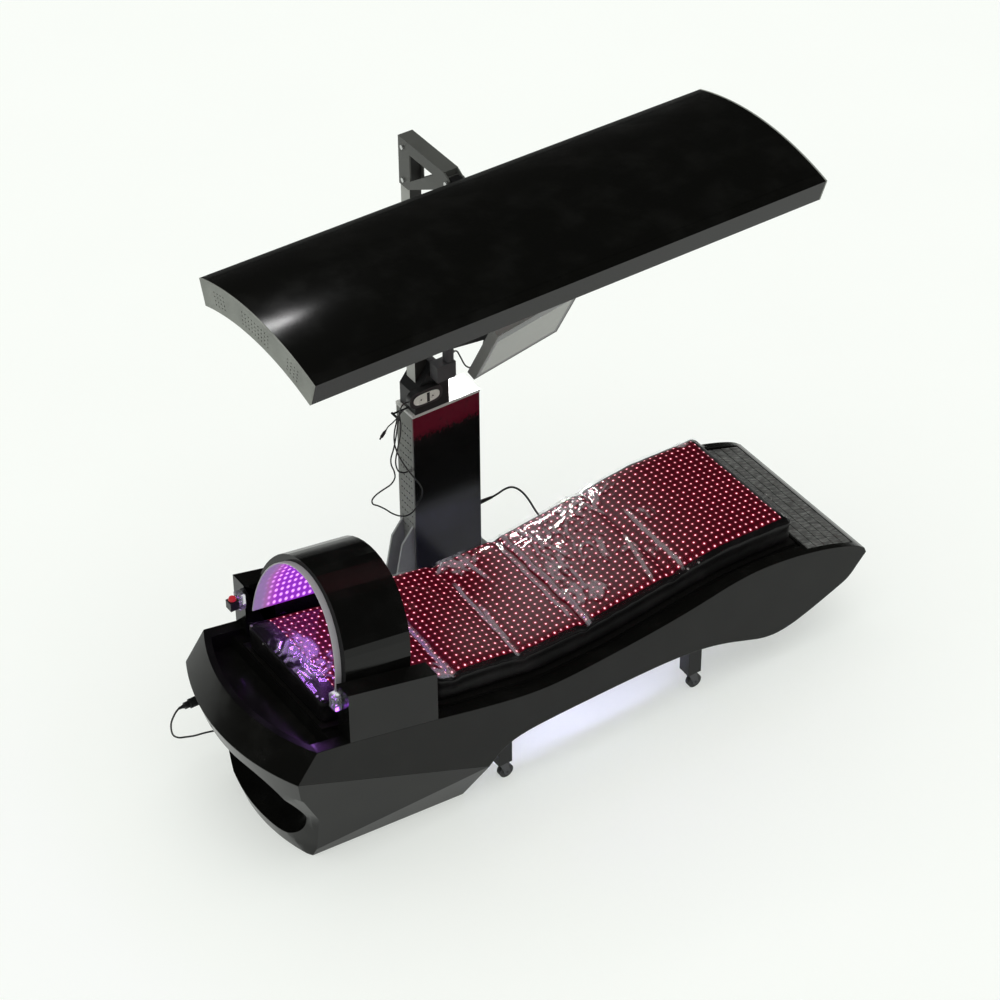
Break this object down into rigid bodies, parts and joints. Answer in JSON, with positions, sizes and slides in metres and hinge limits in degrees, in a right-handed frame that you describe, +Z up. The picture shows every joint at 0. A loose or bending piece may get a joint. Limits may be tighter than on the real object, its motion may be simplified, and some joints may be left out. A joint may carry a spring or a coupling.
{
  "type": "red light therapy recliner",
  "caption": "Wave-shaped treatment bed with a light mat, a hinged head dome, a lift column with an arched light canopy, a swivel screen and a wired handset.",
  "frame": {"origin": "on the floor under the middle of the bed, on the underside of the column's floor plate", "axes": "+X from the head end to the foot end, +Y from the user's side to the column, +Z up"},
  "size_m": [2.268, 1.024, 1.8799],
  "materials": {
    "hull_gloss": "gloss black moulding",
    "tread_grey": "ribbed matte grey",
    "frame_steel": "satin grey powder coat",
    "post_black": "satin black powder coat",
    "fork_steel": "zinc plated steel",
    "wheel_rubber": "black caster tread",
    "driver_aluminium": "plain extrusion",
    "glow_white": "opal light strip",
    "board_wood": "plywood",
    "cushion_leather": "black leatherette",
    "mat_red": "flexible mat with small lamps",
    "film_clear": "clear soft film",
    "dome_black": "gloss black",
    "opal_liner": "opal, glows white and violet",
    "lamp_board": "lamp sheet",
    "clamp_clear": "clear moulding",
    "pin_steel": "ground steel",
    "pod_black": "matte black",
    "stop_red": "gloss red",
    "base_paint": "satin grey powder coat",
    "housing_grey": "perforated grey sheet",
    "front_dark": "gloss front that fades red, black and indigo",
    "lid_steel": "brushed sheet",
    "screw_steel": "plain screws",
    "guide_black": "matte black",
    "mast_steel": "satin steel tube",
    "arm_steel": "grey plates",
    "canopy_black": "gloss black skin",
    "end_grey": "perforated grey ends",
    "canopy_rib": "plain aluminium",
    "diffuser_red": "clear diffuser lit red",
    "screen_grey": "textured grey",
    "screen_face": "pale grey-green screen",
    "key_white": "white keys",
    "cord_black": "black cable jacket"
  },
  "bodies": {
    "frame": {"upper_hull": "hull_gloss", "head_pedestal": "hull_gloss", "foot_tread": "tread_grey", "base_frame": "frame_steel", "leg_posts": "post_black", "driver_box": "driver_aluminium", "underglow_strip": "glow_white", "pad_board": "board_wood", "mattress": "cushion_leather", "light_mat": "mat_red", "clear_film": "film_clear", "cheek_near": "dome_black", "cheek_far": "dome_black", "hinge_clamps": "clamp_clear", "hinge_pins": "pin_steel", "stop_pod": "pod_black", "column_base": "base_paint", "column_housing": "housing_grey", "column_front": "front_dark", "column_lid": "lid_steel", "column_screws": "screw_steel", "lift_actuator": "pod_black", "mast_guide": "guide_black", "screen_bracket": "screen_grey", "handset": "pod_black", "handset_cable": "cord_black", "lead_cable": "cord_black", "cord_plugs": "pod_black", "bed_cable": "cord_black", "head_cable": "cord_black"},
    "caster_fork_head_near": {"fork_head_near": "fork_steel"},
    "caster_wheel_head_near": {"wheel_head_near": "wheel_rubber"},
    "caster_fork_head_far": {"fork_head_far": "fork_steel"},
    "caster_wheel_head_far": {"wheel_head_far": "wheel_rubber"},
    "caster_fork_foot_near": {"fork_foot_near": "fork_steel"},
    "caster_wheel_foot_near": {"wheel_foot_near": "wheel_rubber"},
    "caster_fork_foot_far": {"fork_foot_far": "fork_steel"},
    "caster_wheel_foot_far": {"wheel_foot_far": "wheel_rubber"},
    "dome": {"dome_shell": "dome_black", "dome_liner": "opal_liner", "dome_light_board": "lamp_board"},
    "stop_button": {"stop_button": "stop_red"},
    "mast": {"mast": "mast_steel", "lift_rod": "pin_steel", "gallows_arm": "arm_steel", "arm_bolts": "screw_steel"},
    "canopy": {"tilt_pin": "pin_steel", "tilt_bracket": "post_black", "canopy_frame": "canopy_rib", "canopy_shell": "canopy_black", "canopy_end_head": "end_grey", "canopy_end_foot": "end_grey", "canopy_light_panel": "lamp_board", "canopy_diffuser": "diffuser_red"},
    "screen_arm": {"screen_arm": "screen_grey", "screen_cable": "cord_black"},
    "screen": {"screen_casing": "screen_grey", "screen_glass": "screen_face"},
    "key_up": {"key_up": "key_white"},
    "key_down": {"key_down": "key_white"}
  },
  "joints": [
    {"name": "swivel_head_near", "type": "hinge", "parent": "frame", "child": "caster_fork_head_near", "pos_m": [-0.31, -0.272, 0.075], "axis": [0, 0, 1], "continuous": true},
    {"name": "roll_head_near", "type": "hinge", "parent": "caster_fork_head_near", "child": "caster_wheel_head_near", "pos_m": [-0.296, -0.272, 0.025], "axis": [0, 1, 0], "continuous": true},
    {"name": "swivel_head_far", "type": "hinge", "parent": "frame", "child": "caster_fork_head_far", "pos_m": [-0.31, 0.272, 0.075], "axis": [0, 0, 1], "continuous": true},
    {"name": "roll_head_far", "type": "hinge", "parent": "caster_fork_head_far", "child": "caster_wheel_head_far", "pos_m": [-0.296, 0.272, 0.025], "axis": [0, 1, 0], "continuous": true},
    {"name": "swivel_foot_near", "type": "hinge", "parent": "frame", "child": "caster_fork_foot_near", "pos_m": [0.43, -0.272, 0.075], "axis": [0, 0, 1], "continuous": true},
    {"name": "roll_foot_near", "type": "hinge", "parent": "caster_fork_foot_near", "child": "caster_wheel_foot_near", "pos_m": [0.444, -0.272, 0.025], "axis": [0, 1, 0], "continuous": true},
    {"name": "swivel_foot_far", "type": "hinge", "parent": "frame", "child": "caster_fork_foot_far", "pos_m": [0.43, 0.272, 0.075], "axis": [0, 0, 1], "continuous": true},
    {"name": "roll_foot_far", "type": "hinge", "parent": "caster_fork_foot_far", "child": "caster_wheel_foot_far", "pos_m": [0.444, 0.272, 0.025], "axis": [0, 1, 0], "continuous": true},
    {"name": "dome_hinge", "type": "hinge", "parent": "frame", "child": "dome", "pos_m": [-0.84199, 0, 0.62625], "axis": [0, -1, 0], "range_deg": [0, 75]},
    {"name": "stop_press", "type": "slide", "parent": "frame", "child": "stop_button", "axis": [0, 0, -1], "range_m": [0, 0.003], "stiffness_N_per_m": 400, "springref_m": -0.001},
    {"name": "lift", "type": "slide", "parent": "frame", "child": "mast", "axis": [0, 0, 1], "range_m": [-0.38, 0]},
    {"name": "canopy_tilt", "type": "hinge", "parent": "mast", "child": "canopy", "pos_m": [-0.038, 0.356, 1.794], "axis": [1, 0, 0], "range_deg": [-10, 15]},
    {"name": "screen_swivel", "type": "hinge", "parent": "frame", "child": "screen_arm", "pos_m": [0.034, 0.5238, 1.012], "axis": [0, 0, 1], "range_deg": [-70, 60]},
    {"name": "screen_tilt", "type": "hinge", "parent": "screen_arm", "child": "screen", "pos_m": [0.2657, 0.48842, 1.09093], "axis": [0.9848, 0.1736, 0], "range_deg": [-30, 5]},
    {"name": "key_up_press", "type": "slide", "parent": "frame", "child": "key_up", "axis": [0, 1, 0], "range_m": [0, 0.0012], "stiffness_N_per_m": 400, "springref_m": -0.0005},
    {"name": "key_down_press", "type": "slide", "parent": "frame", "child": "key_down", "axis": [0, 1, 0], "range_m": [0, 0.0012], "stiffness_N_per_m": 400, "springref_m": -0.0005}
  ]
}
